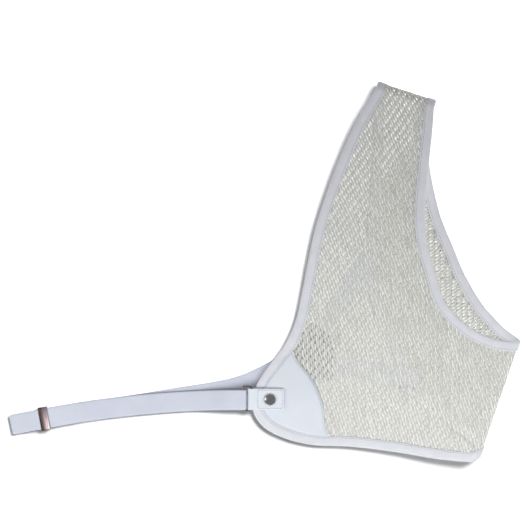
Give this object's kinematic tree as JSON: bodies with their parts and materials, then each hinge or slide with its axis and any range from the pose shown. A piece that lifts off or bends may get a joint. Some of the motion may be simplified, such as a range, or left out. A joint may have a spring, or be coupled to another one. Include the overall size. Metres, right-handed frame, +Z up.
{
  "type": "chest guard",
  "caption": "Half-vest chest guard of white net for one shoulder, with bound edges, a vinyl corner with a snapped tab, and an elastic strap on a ring and slider.",
  "frame": {"origin": "on the table under the middle of the guard's outline", "axes": "+X along the strap towards the side fold, +Y towards the shoulder fold, +Z up from the table"},
  "size_m": [0.5134, 0.3807, 0.02],
  "materials": {
    "net": "matt open net",
    "binding_tape": "woven tape",
    "vinyl": "satin grained vinyl",
    "grey_vinyl": "matt reverse of vinyl",
    "elastic": "ribbed elastic",
    "nickel": "polished",
    "dark_nickel": "dark polished"
  },
  "bodies": {
    "root": {"front_net": "net", "side_net": "net", "back_net": "net", "shoulder_net": "net", "front_armhole_binding": "binding_tape", "side_armhole_binding": "binding_tape", "back_armhole_binding": "binding_tape", "shoulder_armhole_binding": "binding_tape", "front_outer_binding": "binding_tape", "side_outer_binding": "binding_tape", "back_outer_binding": "binding_tape", "shoulder_outer_binding": "binding_tape", "front_patch": "vinyl", "strap_tab": "vinyl", "snap": "nickel", "strap": "elastic", "upper_band": "elastic", "lower_band": "elastic", "yoke_patch": "grey_vinyl", "ring": "dark_nickel", "slider": "dark_nickel"}
  },
  "joints": []
}
